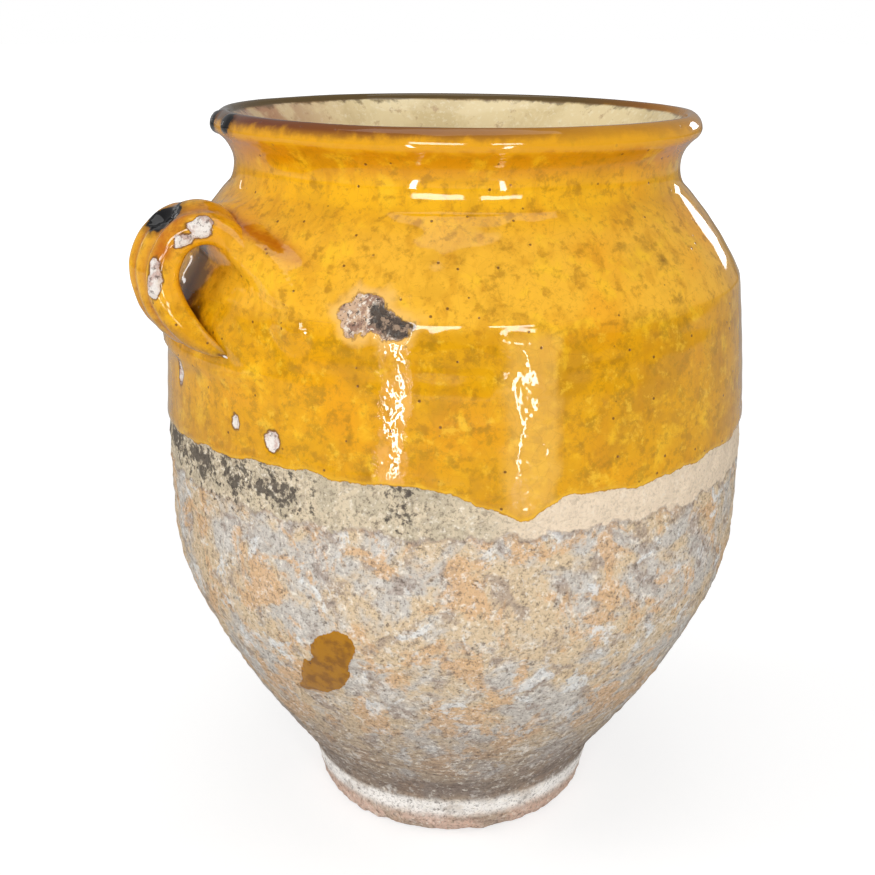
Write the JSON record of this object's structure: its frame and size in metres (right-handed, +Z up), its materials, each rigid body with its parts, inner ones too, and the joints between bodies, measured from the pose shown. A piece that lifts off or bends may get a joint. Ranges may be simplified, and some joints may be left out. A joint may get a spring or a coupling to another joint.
{
  "type": "confit pot",
  "caption": "Round-bellied clay preserving pot with a low foot, rolled rim, half-dipped honey glaze and a ribbed strap handle at the shoulder.",
  "frame": {"origin": "centre of the flat base, on the axis the pot was thrown about", "axes": "+Z up along the pot's axis, -X towards the middle of the handle, so the finger gap runs along Y"},
  "size_m": [0.2574, 0.2422, 0.3002],
  "materials": {
    "glazed_clay": "gloss"
  },
  "bodies": {
    "root": {"pot": "glazed_clay"}
  },
  "joints": []
}
